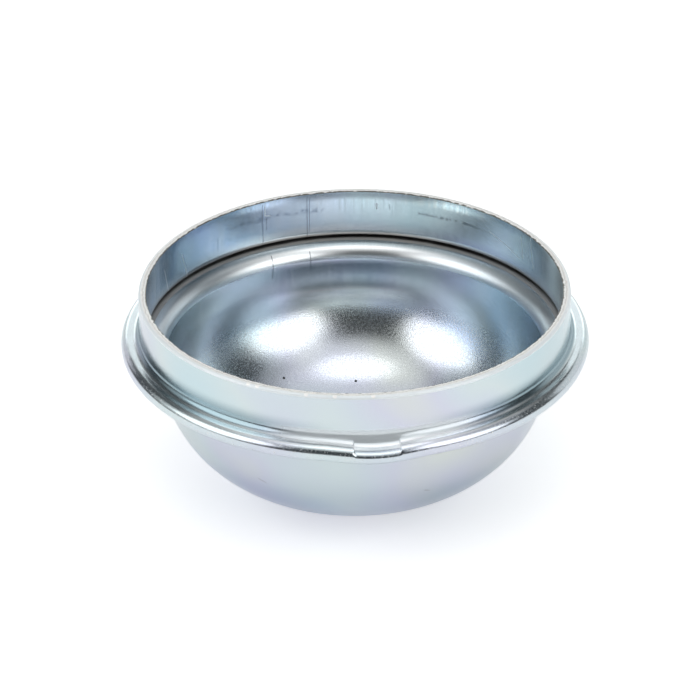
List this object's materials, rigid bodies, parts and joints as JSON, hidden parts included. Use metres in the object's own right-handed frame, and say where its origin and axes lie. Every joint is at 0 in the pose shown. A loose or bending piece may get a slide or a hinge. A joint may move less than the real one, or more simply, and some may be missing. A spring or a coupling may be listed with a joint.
{
  "type": "hub grease cap",
  "caption": "Drawn sheet-steel dust cap: a shallow dome, a folded flange with a vent notch and a straight collar that presses into a wheel hub to keep grease in.",
  "frame": {"origin": "lowest point of the dome, on the cap's axis", "axes": "+Z along the cap's axis out of its mouth, -Y towards the vent notch"},
  "size_m": [0.0706, 0.0706, 0.0322],
  "materials": {
    "zinc_plate": "bright zinc plate with a faint blue tint over drawn sheet steel"
  },
  "bodies": {
    "root": {"grease_cap": "zinc_plate"}
  },
  "joints": []
}
